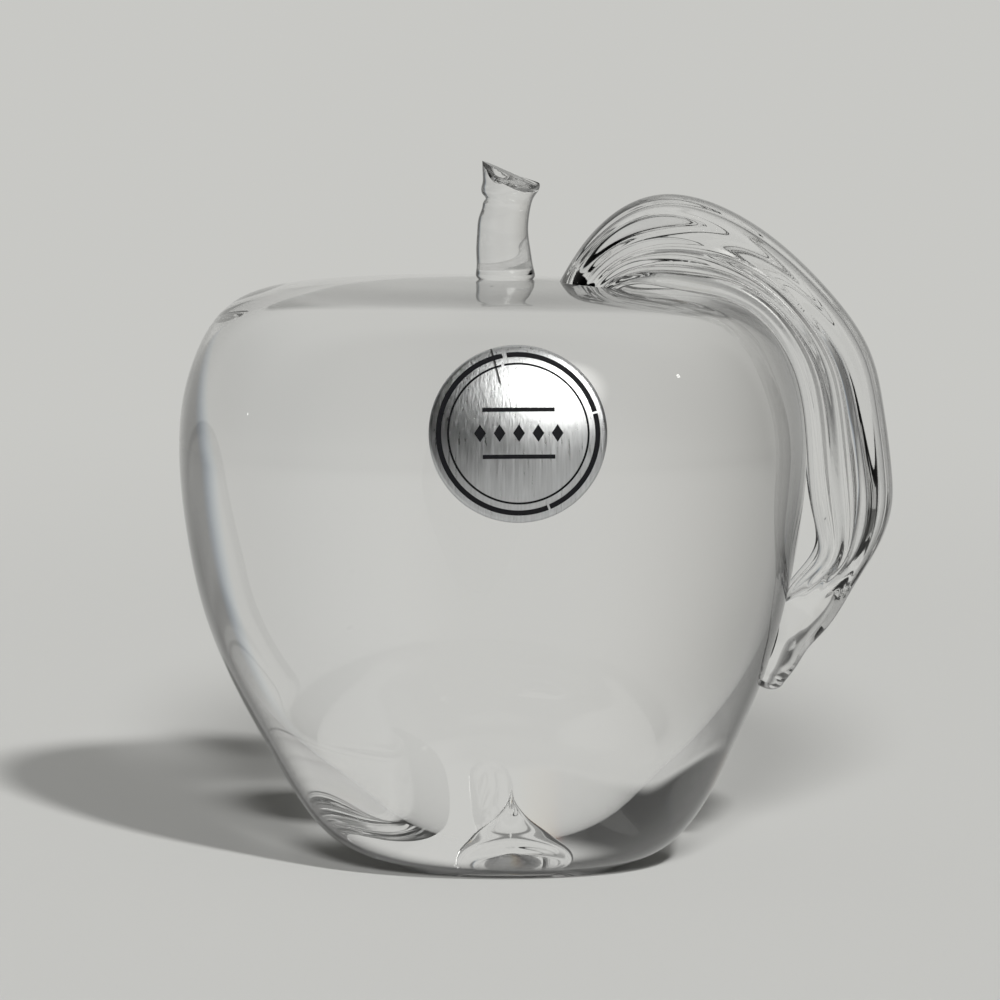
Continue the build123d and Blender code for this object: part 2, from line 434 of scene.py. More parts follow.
# The body's painted edge shade is paler above: from and to which height, in metres, and how dark it is before and
# after
BODY_EDGE_SHADE_FADE = (0.038, 0.058, 1.0, 0.35)
# Painted shade on each piece of glass, standing in for the dark room seen in its edges: where it begins and ends, from
# facing the eye at 0 to edge on at 1, and its tint at the edge
BODY_EDGE_SHADE = (0.58, 0.785, (0.012, 0.012, 0.013))
BUBBLE_EDGE_SHADE = (0.34, 0.62, (0.012, 0.012, 0.013))
STEM_EDGE_SHADE = (0.42, 0.74, (0.012, 0.012, 0.013))
LEAF_EDGE_SHADE = (0.52, 0.84, (0.04, 0.04, 0.042))


def crystal(name, edge, paler=None):
    """Clear crystal with painted shade that darkens it towards its edges. It is left out where it runs inside another
    piece.
    """
    constants = {"Roughness": 0, "IOR": CRYSTAL_IOR, "Transmission Weight": 1}
    material, tree, shader = new_material(name, constants)
    clear = tree.nodes.new("ShaderNodeAttribute")
    clear.attribute_name = "clear_of_others"
    mask = maths(tree, "GREATER_THAN", clear.outputs["Fac"], 0.0)
    x, _, z = axes_of(tree, tree.nodes.new("ShaderNodeTexCoord").outputs["Object"])
    sides = times(tree, ramp(tree, x, *SHADOW_LEFT), ramp(tree, x, *SHADOW_RIGHT))
    levels = times(tree, ramp(tree, z, *SHADOW_FOOT), ramp(tree, z, *SHADOW_TOP))
    shadow = tree.nodes.new("ShaderNodeLightPath").outputs["Is Shadow Ray"]
    lit = times(tree, shadow, times(tree, sides, levels))
    tree.links.new(times(tree, mask, maths(tree, "SUBTRACT", 1.0, lit)), shader.inputs["Alpha"])

    # Painted shade: the glass's colour darkens towards its edges, and on the body less so higher up
    facing = tree.nodes.new("ShaderNodeLayerWeight")
    begins, ends, tint = edge
    dark = ramp(tree, facing.outputs["Facing"], begins, ends)
    if paler:
        dark = times(tree, dark, ramp(tree, z, *paler))
    tree.links.new(blend_colours(tree, dark, (1, 1, 1), tint), shader.inputs["Base Color"])
    return material


def set_clear(obj, distances):
    """Writes how far each point lies outside the other pieces."""
    attribute = obj.data.attributes.get("clear_of_others")
    if attribute is None:
        attribute = obj.data.attributes.new("clear_of_others", "FLOAT", "POINT")
    attribute.data.foreach_set("value", np.array(distances, np.float32))


def glass_piece(bm, name, material, node):
    """Makes a piece of glass, all of it clear of the others until they are fused."""
    obj = piece(bm, name, material, [node])
    set_clear(obj, [1.0] * len(obj.data.vertices))
    return obj


def tree_of(obj):
    """A search tree of a piece's mesh."""
    bm = bmesh.new()
    bm.from_mesh(obj.data)
    tree = BVHTree.FromBMesh(bm)
    bm.free()
    return tree


# The line that tells inside from outside, and how far past each crossing it goes on, in metres
PROBE = Vector((0.31, 0.52, 0.79)).normalized()
PROBE_STEP = 1e-6


def depth_outside(point, tree):
    """The distance from a closed piece, below zero inside it, where a line out crosses it an odd number of times."""
    distance = tree.find_nearest(point)[3]
    hit = tree.ray_cast(point, PROBE)[0]
    while hit is not None:
        distance = -distance
        hit = tree.ray_cast(hit + PROBE * PROBE_STEP, PROBE)[0]
    return distance


def body_rows(body, stem):
    """The body's rings: radius, height, middle and tilt."""
    base, widest, seat = body.base_width / 2, body.width / 2, stem.foot_width / 2
    rows = [(base, 0.0, 0.0, 0.0)]
    for height, radius, lean in LOWER_RING_SHARES:
        rows.append((base + (widest - base) * radius, body.height * height, body.lean * lean, 0.0))
    start = LOWER_RING_SHARES[-1][0]
    for height, radius, lean in UPPER_RING_SHARES:
        tilt = body.top_tilt * (height - start) / (1 - start)
        rows.append((seat + (widest - seat) * radius, body.height * height, body.lean * lean, tilt))
    rows.append((seat, body.height, stem.offset, 0.0))
    return rows


class APPLE_OT_body(Operator):
    """Makes the solid crystal body with its sealed bubble"""

    bl_idname = "apple.body"
    bl_label = "Crystal body"

    def execute(self, context):
        body, stem = context.scene.apple_body, context.scene.apple_stem
        rows = smooth_rows(body_rows(body, stem), BODY_ROWS)
        points = [(0, 0)] + [(radius, height) for radius, height, _, _ in rows] + [(0, body.height)]
        bm = bmesh.new()
        spin_profile(bm, points, BODY_STEPS)
        close_and_face_out(bm)
        heights = rows[:, 1]
        for edge in bm.edges:
            ends = [vert.co for vert in edge.verts]
            if all(co.z < FLAT_GAP and co.xy.length > body.base_width / 4 for co in ends):
                edge.smooth = False
        for vert in bm.verts:
            x, y, z = vert.co
            middle = np.interp(z, heights, rows[:, 2])
            tilt = np.interp(z, heights, rows[:, 3])
            vert.co = (middle + x * math.cos(tilt), y, z - x * math.sin(tilt))

        outline = [
            (body.bubble_width / 2 * radius, body.bubble_floor + body.bubble_height * height)
            for height, radius in BUBBLE_SHARES
        ]
        void = bmesh.new()
        profile = [tuple(row) for row in smooth_rows(outline, BUBBLE_ROWS)]
        spin_profile(void, profile, BUBBLE_STEPS, (body.bubble_offset, 0))
        close_and_face_out(void)
        bmesh.ops.reverse_faces(void, faces=void.faces)
        mesh = bpy.data.meshes.new("void")
        for face in void.faces:
            face.material_index = 1
        void.to_mesh(mesh)
        void.free()
        bm.from_mesh(mesh)
        bpy.data.meshes.remove(mesh)
        glass = crystal("Body crystal", BODY_EDGE_SHADE, BODY_EDGE_SHADE_FADE)
        obj = glass_piece(bm, "crystal_body", glass, "apple_body")
        obj.data.materials.append(crystal("Bubble wall", BUBBLE_EDGE_SHADE))
        return {"FINISHED"}


class APPLE_OT_stem(Operator):
    """Makes the applied stem with its torn end"""

    bl_idname = "apple.stem"
    bl_label = "Crystal stem"

    def execute(self, context):
        body, stem = context.scene.apple_body, context.scene.apple_stem
        rows = [
            (stem.width / 2 * width, body.height + stem.height * height, stem.offset + stem.sway * sway)
            for height, width, sway in STEM_RING_SHARES
        ]
        end_width = stem.width * STEM_RING_SHARES[-1][1]
        slope = stem.tear_drop / end_width
        end_x = stem.offset + stem.sway
        end_z = body.height + stem.height - stem.tear_drop / 2
        rings = []
        for radius, height, middle in smooth_rows(rows, STEM_ROWS):
            rise = (height - body.height) / stem.height
            share = (height - body.height) / (stem.height * STEM_RING_SHARES[-1][0])
            blend = max(0.0, min(1.0, (share - TEAR_FROM) / (1 - TEAR_FROM))) ** 2
            pinch = stem.pinch_depth * sum(deep * swell(rise, at, wide) for at, wide, deep in STEM_DENTS)
            ring = []
            for i in range(STEM_STEPS):
                turn = 2 * math.pi * i / STEM_STEPS
                near = radius - pinch * max(0.0, -math.cos(turn)) ** 2
                x = middle + near * math.cos(turn)
                y = near * math.sin(turn)
                ceiling = end_z - slope * (x - end_x) + stem.tear_lean * min(0.0, y)
                top = body.height + share * (ceiling - body.height)
                ring.append((x, y, height + (top - height) * blend))
            rings.append(ring)
        rim = rings[-1]
        crater_x = end_x + end_width * CRATER_PLACE_SHARE
        crater_y = -stem.crater_width / 4
        crater = Vector((crater_x, crater_y, end_z - slope * (crater_x - end_x) + stem.tear_lean * crater_y))
        bowl = stem.crater_width / 2
        for share in CRATER_RING_SHARES:
            ring = []
            for point in rim:
                spot = crater + (Vector(point) - crater) * share
                out = (spot - crater).length / bowl
                sink = stem.crater_depth * max(0.0, 1 - out * out)
                ring.append(spot - Vector((0, 0, sink)))
            rings.append(ring)
        bm = bmesh.new()
        first, last = loft(bm, rings)
        cap(bm, first)
        bmesh.ops.pointmerge(bm, verts=last, merge_co=crater - Vector((0, 0, stem.crater_depth)))
        close_and_face_out(bm)
        glass_piece(bm, "crystal_stem", crystal("Stem crystal", STEM_EDGE_SHADE), "stem")
        return {"FINISHED"}


# How finely the leaf is divided: its sections, and in each one the points along the outer side, round a rim and along
# the inner side
LEAF_SECTIONS = 200
OUTER_STEPS, RIM_STEPS, INNER_STEPS = 132, 8, 132
# The shallow steps that run along the crown's sides: angle from the crown, half width and depth in flute depths
CROWN_STEPS = [(0.40, 0.07, 0.30), (0.68, 0.12, -0.30)]
# The ripples beyond them: the angle they begin at, depth, how close they lie, how they drift along the leaf, and sway
RIPPLES_FROM, RIPPLE_DEPTH, RIPPLE_TURNS, RIPPLE_DRIFT, RIPPLE_SWAY = 1.0, 1.6, 22, 7, 1.5
# The grooves of the inner side: how far across they begin, their depth, and how far and how fast they drift
GROOVES_FROM, GROOVE_DEPTH, GROOVE_DRIFT, GROOVE_TURNS = 0.6, 2.4, 2.2, 4
# The rounded tip: how many sections back gives its direction, and the turns of its rings in degrees
TIP_SPAN = 9
TIP_TURNS = (15, 30, 44, 57, 68, 77, 84)


def leaf_ring(leaf, row, share):
    """One closed section of the leaf: a crowned outer side with steps and ripples, and an inner side with flutes."""
    rim_x, rim_z, lift, turned, width, thickness, rim, flute = row
    half = width / 2
    inner = half - rim
    sway = RIPPLE_DRIFT * share + RIPPLE_SWAY * math.sin(RIPPLE_DRIFT * share)
    drift = GROOVE_DRIFT * math.sin(GROOVE_TURNS * share)
    flat = []
    for i in range(OUTER_STEPS):
        turn = math.pi * (1 + i / OUTER_STEPS)
        off_crown = abs(turn - 1.5 * math.pi)
        dent = sum(deep * swell(off_crown, at, wide) for at, wide, deep in CROWN_STEPS)
        flank = max(0.0, (off_crown - RIPPLES_FROM) / (math.pi / 2 - RIPPLES_FROM))
        dent += RIPPLE_DEPTH * flank * (1 - flank) * math.sin(RIPPLE_TURNS * off_crown + sway)
        dent *= flute
        flat.append(((half - dent) * math.cos(turn), lift * (1 + math.sin(turn)) - dent * math.sin(turn)))
    turns = [math.pi * i / RIM_STEPS for i in range(RIM_STEPS)]
    rounded = [(rim / 2 * math.cos(turn), lift + rim / 2 * math.sin(turn)) for turn in turns]
    flat += [(half - rim / 2 + across, deep) for across, deep in rounded]
    for i in range(INNER_STEPS):
        turn = math.pi * (0.5 - i / INNER_STEPS)
        beside = max(0.0, abs(math.sin(turn)) - GROOVES_FROM) / (1 - GROOVES_FROM)
        wave = math.cos(2 * leaf.flute_count * (turn - math.pi / 2) + drift * math.sin(turn))
        groove = GROOVE_DEPTH * flute * beside * (1 - beside) * wave
        flat.append((inner * math.sin(turn), thickness + (lift - thickness) * (1 - math.cos(turn)) - groove))
    flat += [(-half + rim / 2 + across, deep) for across, deep in rounded]
    out_x, out_z = math.cos(turned), math.sin(turned)
    crown_x = rim_x + lift * out_x
    crown_z = rim_z + lift * out_z
    return [(crown_x - deep * out_x, across, crown_z - deep * out_z) for across, deep in flat]


def rounded_end(before, last, reach):
    """Rings that close an end softly: each goes on in the same direction and is smaller than the one before."""
    middle = sum((Vector(point) for point in last), Vector()) / len(last)
    ahead = (middle - sum((Vector(point) for point in before), Vector()) / len(before)).normalized()
    rings = []
    for degrees in TIP_TURNS:
        turn = math.radians(degrees)
        centre = middle + ahead * reach * math.sin(turn)
        rings.append([centre + (Vector(point) - middle) * math.cos(turn) for point in last])
    return rings


class APPLE_OT_leaf(Operator):
    """Makes the applied leaf, arched from the body's top to its side"""

    bl_idname = "apple.leaf"
    bl_label = "Crystal leaf"

    def execute(self, context):
        body, leaf = context.scene.apple_body, context.scene.apple_leaf
        place, degree = (body.width / 2, body.height), math.radians(1)
        whole = (*place, leaf.lift, degree, leaf.width, leaf.thickness, leaf.rim, leaf.flute_depth)
        sections = smooth_rows(np.array(LEAF_SECTION_SHARES) * whole, LEAF_SECTIONS)
        rings = [leaf_ring(leaf, row, i / len(sections)) for i, row in enumerate(sections)]
        rings += rounded_end(rings[-TIP_SPAN], rings[-1], leaf.rim)
        bm = bmesh.new()
        first, last = loft(bm, rings)
        cap(bm, first)
        cap(bm, last)
        close_and_face_out(bm)
        glass_piece(bm, "crystal_leaf", crystal("Leaf crystal", LEAF_EDGE_SHADE), "leaf")
        return {"FINISHED"}


class APPLE_OT_fuse(Operator):
    """Marks where the stem and the leaf run into the body, so that the glass is one there"""

    bl_idname = "apple.fuse"
    bl_label = "Fuse the glass"

    def execute(self, context):
        body, *others = (context.scene.objects[f"crystal_{name}"] for name in ("body", "stem", "leaf"))
        body_tree, *trees = (tree_of(obj) for obj in (body, *others))
        for obj in others:
            set_clear(obj, [depth_outside(vert.co, body_tree) for vert in obj.data.vertices])
        far = max(obj.dimensions.length for obj in others)
        set_clear(body, [min(far, *(depth_outside(vert.co, tree) for tree in trees)) for vert in body.data.vertices])
        return {"FINISHED"}


# The foil's brushing: how fine it is across and up, its roughness, how dark its dark streaks are, and its relief
BRUSHING, BRUSHING_DETAIL = (4200, 4200, 190), 4
FOIL_ROUGHNESS = (0.16, 0.50)
FOIL_STREAKS = 0.6
FOIL_RELIEF, FOIL_RELIEF_DEPTH = 0.6, 0.00004
# The crease in the foil runs down from its top edge: its place at the ground, its slope, its half width and its end,
# then the tint of the painted shade along it and the depth of its bump
CREASE_X = -0.01529
CREASE_SLOPE = 0.27273
CREASE_BAND = (0.00004, 0.00016, 1, 0)
CREASE_END = (0.0612, 0.0617)
CREASE_SHADE = (0.12, 0.12, 0.12)
CREASE_DEPTH = 3
# The print's and the adhesive's mottle: how fine it is, its roughness, and its paler spots as a share and a lift
MOTTLE = 2600
MOTTLE_ROUGHNESS = (0.35, 0.6)
MOTTLE_SHARE, MOTTLE_LIFT = 1.5, 0.001
INK_GLOSS, ADHESIVE_GLOSS = 0.1, 0.5


def foil_material(settings):
    """Silver foil brushed upwards."""
    material, tree, shader = new_material("Brushed foil", {"Metallic": 1})
    place = tree.nodes.new("ShaderNodeTexCoord").outputs["Object"]
    stretch = tree.nodes.new("ShaderNodeMapping")
    set_inputs(stretch, {"Scale": BRUSHING})
    noise = tree.nodes.new("ShaderNodeTexNoise")
    set_inputs(noise, {"Scale": 1, "Detail": BRUSHING_DETAIL})
    streaks = [value * FOIL_STREAKS for value in settings.foil_colour]
    tint = blend_colours(tree, noise.outputs["Fac"], streaks, settings.foil_colour)
    x, _, z = axes_of(tree, place)
    off_line = maths(tree, "ABSOLUTE", maths(tree, "ADD", x, maths(tree, "MULTIPLY_ADD", z, CREASE_SLOPE, CREASE_X)))
    crease_and_shade = times(tree, ramp(tree, off_line, *CREASE_BAND), ramp(tree, z, *CREASE_END))
    bump = tree.nodes.new("ShaderNodeBump")
    set_inputs(bump, {"Strength": FOIL_RELIEF, "Distance": FOIL_RELIEF_DEPTH})
    relief = maths(tree, "SUBTRACT", noise.outputs["Fac"], times(tree, crease_and_shade, CREASE_DEPTH))
    link = tree.links.new
    link(place, stretch.inputs["Vector"])
    link(stretch.outputs["Vector"], noise.inputs["Vector"])
    link(ramp(tree, noise.outputs["Fac"], 0, 1, *FOIL_ROUGHNESS, "LINEAR"), shader.inputs["Roughness"])
    # Painted shade: the foil's colour is darkened along the crease
    link(blend_colours(tree, crease_and_shade, tint, CREASE_SHADE), shader.inputs["Base Color"])
    link(relief, bump.inputs["Height"])
    link(bump.outputs["Normal"], shader.inputs["Normal"])
    return material


def print_material(name, tone, gloss):
    """Print or adhesive: a matt film with a faint mottle."""
    material, tree, shader = new_material(name, {"Specular IOR Level": gloss})
    noise = tree.nodes.new("ShaderNodeTexNoise")
    set_inputs(noise, {"Scale": MOTTLE})
    paler = [min(1.0, value * MOTTLE_SHARE + MOTTLE_LIFT) for value in tone]
    link = tree.links.new
    link(tree.nodes.new("ShaderNodeTexCoord").outputs["Object"], noise.inputs["Vector"])
    link(ramp(tree, noise.outputs["Fac"], 0, 1, *MOTTLE_ROUGHNESS, "LINEAR"), shader.inputs["Roughness"])
    link(blend_colours(tree, noise.outputs["Fac"], tone, paler), shader.inputs["Base Color"])
    return material


class LabelPress:
    """Lays flat layers of the label onto the body."""

    def __init__(self, scene):
        body, label = scene.apple_body, scene.apple_label
        turn = label.azimuth
        self.tree = tree_of(scene.objects["crystal_body"])
        self.across = Vector((math.cos(turn), math.sin(turn), 0))
        self.facing = aim(turn, label.pitch)
        self.up = self.facing.cross(self.across)
        radius = body.width / 2
        self.middle = Vector((body.lean + radius * math.sin(turn), -radius * math.cos(turn), body.height - label.drop))
        self.axis = Vector((body.lean, 0, 0))
        self.reach = radius / 2

    def press(self, bm):
        for vert in bm.verts:
            start = self.middle + self.across * vert.co.x + self.up * vert.co.y + self.facing * self.reach
            hit = self.tree.ray_cast(start, -self.facing)[0]
            if hit is None:
                raise RuntimeError("the label misses the body")
            out = hit - self.axis
            out.z = 0
            vert.co = hit + out.normalized() * vert.co.z


# Where the printed rings have worn away: the middle and the width in degrees, from the label's right side upwards
OUTER_BREAKS = [(15.0, 1.6), (99.0, 3.2), (292.0, 1.6)]
INNER_BREAKS = [(102.0, 2.4)]
# How finely the discs, the rings and the rules are divided, so that they follow the body
DISC_SHARES, DISC_STEPS, RING_STEPS, RULE_STEPS = 28, 160, 150, 24


def flat_disc(bm, radius, low, high):
    """A thin flat disc."""
    across = np.linspace(0, radius, DISC_SHARES + 1)
    spin_profile(bm, [(out, high) for out in across] + [(out, low) for out in across[::-1]], DISC_STEPS)
    close_and_face_out(bm)


def broken_ring(bm, inner, outer, low, high, breaks):
    """A thin flat ring that stops at each break. A break is its middle and its width in degrees."""
    outline = [(inner, low), (outer, low), (outer, high), (inner, high)]
    for i, (middle, width) in enumerate(breaks):
        after, next_width = breaks[(i + 1) % len(breaks)]
        begin = math.radians(middle + width / 2)
        arc = math.radians((after - next_width / 2 - middle - width / 2) % 360)
        verts = [bm.verts.new((radius * math.cos(begin), radius * math.sin(begin), high)) for radius, high in outline]
        edges = [bm.edges.new((verts[k - 1], verts[k])) for k in range(len(verts))]
        count = max(2, round(RING_STEPS * arc / (2 * math.pi)))
        made = bmesh.ops.spin(bm, geom=verts + edges, cent=(0, 0, 0), axis=(0, 0, 1), angle=arc, steps=count)
        cap(bm, verts)
        cap(bm, [item for item in made["geom_last"] if isinstance(item, bmesh.types.BMVert)])
    bmesh.ops.recalc_face_normals(bm, faces=bm.faces)


class APPLE_OT_label(Operator):
    """Makes the round foil label with its two printed rings and its printed motif"""

    bl_idname = "apple.label"
    bl_label = "Foil label"

    def execute(self, context):
        label = context.scene.apple_label
        press = LabelPress(context.scene)
        ink = print_material("Label ink", label.ink_colour, INK_GLOSS)
        foil_top = label.adhesive + label.foil
        ink_top = foil_top + label.ink
        outer_ring = label.width / 2 - label.ring_inset
        inner_ring = outer_ring - label.outer_ring_band - label.ring_gap

        adhesive = print_material("Label adhesive", label.adhesive_colour, ADHESIVE_GLOSS)
        for name, material, low, high, node in (
            ("label_adhesive_film", adhesive, 0, label.adhesive, "label_adhesive"),
            ("label_foil_disc", foil_material(label), label.adhesive, foil_top, "label_foil"),
        ):
            bm = bmesh.new()
            flat_disc(bm, label.width / 2, low, high)
            press.press(bm)
            piece(bm, name, material, [node])

        for name, radius, band, node, breaks in (
            ("label_ring_outer", outer_ring, label.outer_ring_band, "label_outer_ring", OUTER_BREAKS),
            ("label_ring_inner", inner_ring, label.inner_ring_band, "label_inner_ring", INNER_BREAKS),
        ):
            bm = bmesh.new()
            broken_ring(bm, radius - band, radius, foil_top, ink_top, breaks)
            press.press(bm)
            piece(bm, name, ink, [node], smooth=False)

        bm = bmesh.new()
        first = -label.lozenge_pitch * (label.lozenge_count - 1) / 2
        for i in range(label.lozenge_count):
            place = Matrix.Translation((first + label.lozenge_pitch * i, 0, foil_top))
            shape = Matrix.Diagonal((label.lozenge_width / 2, label.lozenge_height / 2, 1, 1))
            bmesh.ops.create_circle(bm, cap_ends=True, segments=4, radius=1, matrix=place @ shape)
        for side in (-1, 1):
            place = Matrix.Translation((0, side * label.rule_spacing / 2, foil_top))
            shape = Matrix.Diagonal((label.rule_length / 2, label.rule_band / 2, 1, 1))
            bmesh.ops.create_grid(bm, x_segments=RULE_STEPS, y_segments=1, size=1, matrix=place @ shape)
        bmesh.ops.recalc_face_normals(bm, faces=bm.faces)
        made = bmesh.ops.extrude_face_region(bm, geom=bm.faces[:], use_keep_orig=True)["geom"]
        tops = [item for item in made if isinstance(item, bmesh.types.BMVert)]
        bmesh.ops.translate(bm, verts=tops, vec=(0, 0, label.ink))
        bmesh.ops.recalc_face_normals(bm, faces=bm.faces)
        press.press(bm)
        piece(bm, "label_motif_print", ink, ["label_motif"], smooth=False)
        return {"FINISHED"}


def stage_object(name, data):
    """An object that belongs to the stage."""
    obj = bpy.data.objects.new(name, data)
    bpy.context.scene.collection.objects.link(obj)
    return obj


# The room is dark on both sides. These turns are in degrees from straight behind, towards the leaf. Part of the leaf
# side's darkness comes on gently.
OTHER_TURNS = (-70, -10)
GENTLE_TURNS = (10, 45)
LEAF_TURNS = (52, 62)
GENTLE_PART = 0.12
# The sides' darkness ends upwards, and towards the front
SIDES_TOP = (0.25, 0.75, 1, 0)
SIDES_FRONT = (-0.75, -0.35)
# Bright spots of the room that show in gloss: azimuth from the front towards the leaf, elevation, the angles out to
# where each is full and where it ends, and its strength
GLINTS = [
    (13.0, 26.0, 0.8, 1.3, 24.0),
    (1.0, 16.5, 0.5, 0.9, 8.0),
    (27.0, 35.0, 10.0, 20.0, 9.5),
    (84.0, 30.0, 0.6, 1.0, 14.0),
    (-104.0, 8.0, 0.3, 0.6, 8.0),
]
# Where the dark place high in the room's front left begins and ends: by elevation, and across
HIGH_DARK = (28, 32, 46, 55)
HIGH_DARK_ACROSS = (-0.30, -0.12, 1, 0)
HIGH_DARK_FRONT = (-0.35, -0.05)
# The dim place ahead, from the camera to the left: its darkness, and where it begins and ends across and up
AHEAD_DARK = 0.65
AHEAD_LEFT = (-0.66, -0.38)
AHEAD_RIGHT = (0.04, 0.20, 1, 0)
AHEAD_LEVELS = (-22, -14, 26, 32)
AHEAD_FRONT = (-0.6, -0.4, 1, 0)
# How far the glass parts red, green and blue, as a shift of the dark places' edges
PARTING = (0.022, 0.0, -0.028)
SIDE_PARTING_SHARE = 0.4
# Seen in gloss, the front of the room is darker: how far back that reaches, and how it fades from left to right
GLOSS_FRONT = (-0.25, 0.25, 1, 0)
GLOSS_ACROSS = (-0.4, 0.5)


def shown_rays(tree):
    """One where a ray comes from the camera, from gloss or through glass, and zero once it has met a matt surface."""
    rays = tree.nodes.new("ShaderNodeLightPath").outputs
    bounced = maths(tree, "MAXIMUM", rays["Is Glossy Ray"], rays["Is Transmission Ray"])
    seen = maths(tree, "MAXIMUM", rays["Is Camera Ray"], bounced)
    return times(tree, seen, maths(tree, "LESS_THAN", rays["Diffuse Depth"], 0.5))


def band_between(tree, value, levels):
    """One between two elevations, with soft ends: value is the sine of the elevation."""
    low_in, low_out, high_in, high_out = (math.sin(math.radians(level)) for level in levels)
    return times(tree, ramp(tree, value, low_in, low_out), ramp(tree, value, high_in, high_out, 1, 0))


def room_channel(group, x, y, z, shift, stage):
    """How pale the room is in one of red, green and blue, whose dark places are shifted sideways."""
    turn = maths(group, "ADD", maths(group, "ARCTAN2", x, y), shift * SIDE_PARTING_SHARE)
    other = ramp(group, turn, *map(math.radians, OTHER_TURNS), stage.other_side, 0)
    leaf = ramp(group, turn, *map(math.radians, LEAF_TURNS), 0, stage.leaf_side - GENTLE_PART)
    leaf = maths(group, "ADD", leaf, ramp(group, turn, *map(math.radians, GENTLE_TURNS), 0, GENTLE_PART))
    both = maths(group, "ADD", leaf, other)
    sides = times(group, both, ramp(group, z, *SIDES_TOP), ramp(group, y, *SIDES_FRONT))

    high = times(
        group,
        band_between(group, z, HIGH_DARK),
        ramp(group, maths(group, "ADD", x, shift), *HIGH_DARK_ACROSS),
        ramp(group, y, *HIGH_DARK_FRONT, stage.high, 0),
    )
    ahead = times(
        group,
        ramp(group, x, *AHEAD_LEFT, 0, AHEAD_DARK),
        ramp(group, x, *AHEAD_RIGHT),
        band_between(group, z, AHEAD_LEVELS),
        ramp(group, y, *AHEAD_FRONT),
    )
    tone = maths(group, "SUBTRACT", 1.0, sides)
    for dark in (high, ahead):
        tone = times(group, tone, maths(group, "SUBTRACT", 1.0, dark))
    return tone


def room_group(stage):
    """The pale room's colour by direction: softly darker at its sides and in places in front, more so in gloss."""
    group = bpy.data.node_groups.new("Room tone", "ShaderNodeTree")
    group.interface.new_socket("Direction", in_out="INPUT", socket_type="NodeSocketVector")
    group.interface.new_socket("Through glass", in_out="OUTPUT", socket_type="NodeSocketColor")
    group.interface.new_socket("In gloss", in_out="OUTPUT", socket_type="NodeSocketColor")
    link = group.links.new
    start = group.nodes.new("NodeGroupInput")
    finish = group.nodes.new("NodeGroupOutput")
    unit = vector_maths(group, "NORMALIZE", start.outputs["Direction"])["Vector"]
    x, y, z = axes_of(group, unit)
    tones = [room_channel(group, x, y, z, shift, stage) for shift in PARTING]

    front = ramp(group, y, *GLOSS_FRONT)
    front_tone = ramp(group, x, *GLOSS_ACROSS, stage.gloss_left, stage.gloss_right)
    dim = times(group, front, maths(group, "SUBTRACT", 1.0, front_tone))
    gloss = times(group, tones[1], maths(group, "SUBTRACT", 1.0, dim))
    for azimuth, elevation, full, ended, strength in GLINTS:
        middle = aim(math.radians(azimuth), math.radians(elevation))
        near = vector_maths(group, "DOT_PRODUCT", unit, middle)["Value"]
        edges = (math.cos(math.radians(ended)), math.cos(math.radians(full)))
        gloss = maths(group, "ADD", gloss, ramp(group, near, *edges, 0, strength))
    for values, name in ((tones, "Through glass"), ((gloss, gloss, gloss), "In gloss")):
        whole = group.nodes.new("ShaderNodeCombineXYZ")
        for value, socket in zip(values, whole.inputs):
            link(value, socket)
        paint = vector_maths(group, "MULTIPLY", stage.backdrop, whole.outputs["Vector"])
        link(paint["Vector"], finish.inputs[name])
    return group


def room_tone(tree, group, direction, stage):
    """The room's tone for gloss and glass, and the plain backdrop for the camera and for matt surfaces."""
    room = tree.nodes.new("ShaderNodeGroup")
    room.node_tree = group
    tree.links.new(direction, room.inputs["Direction"])
    rays = tree.nodes.new("ShaderNodeLightPath").outputs
    seen = blend_colours(tree, rays["Is Glossy Ray"], stage.backdrop, room.outputs["In gloss"])
    return blend_colours(tree, rays["Is Transmission Ray"], seen, room.outputs["Through glass"])


# How matt the paper is
PAPER_ROUGHNESS, PAPER_GLOSS = 0.9, 0.1


def floor_material(stage, group):
    """Pale matt paper that takes the shadow near the object and fades into the backdrop far from it."""
    constants = {"Roughness": PAPER_ROUGHNESS, "Specular IOR Level": PAPER_GLOSS, "Base Color": (*stage.floor, 1)}
    material, tree, shader = new_material("Paper floor", constants)
    link = tree.links.new
    place = tree.nodes.new("ShaderNodeTexCoord").outputs["Object"]
    reach = vector_maths(tree, "LENGTH", place)["Value"]
    far = tree.nodes.new("ShaderNodeEmission")
    link(room_tone(tree, group, place, stage), far.inputs["Color"])
    mix = tree.nodes.new("ShaderNodeMixShader")
    through = tree.nodes.new("ShaderNodeLightPath").outputs["Is Transmission Ray"]
    faded = ramp(tree, reach, stage.floor_near, stage.floor_far)
    in_glass = times(tree, through, ramp(tree, reach, stage.glass_near, stage.glass_far))
    link(maths(tree, "MAXIMUM", faded, in_glass), mix.inputs["Fac"])
    dimmed = ramp(tree, reach, stage.glass_far, stage.floor_far, 1 - stage.glass_floor, 0)
    link(maths(tree, "SUBTRACT", 1.0, times(tree, through, dimmed)), far.inputs["Strength"])
    link(shader.outputs["BSDF"], mix.inputs[1])
    link(far.outputs["Emission"], mix.inputs[2])
    link(mix.outputs["Shader"], tree.nodes["Material Output"].inputs["Surface"])
    return material


# The paper's corners, and how far it lies under the base, in metres
FLOOR_STEPS, FLOOR_GAP = 96, 0.00005
# What the camera aims at and how near and far it sees, in metres, and the width of its film in millimetres
CAMERA_TARGET = (-0.00145, 0, 0.04468)
CAMERA_CLIP = (0.01, 50)
FILM_WIDTH = 36


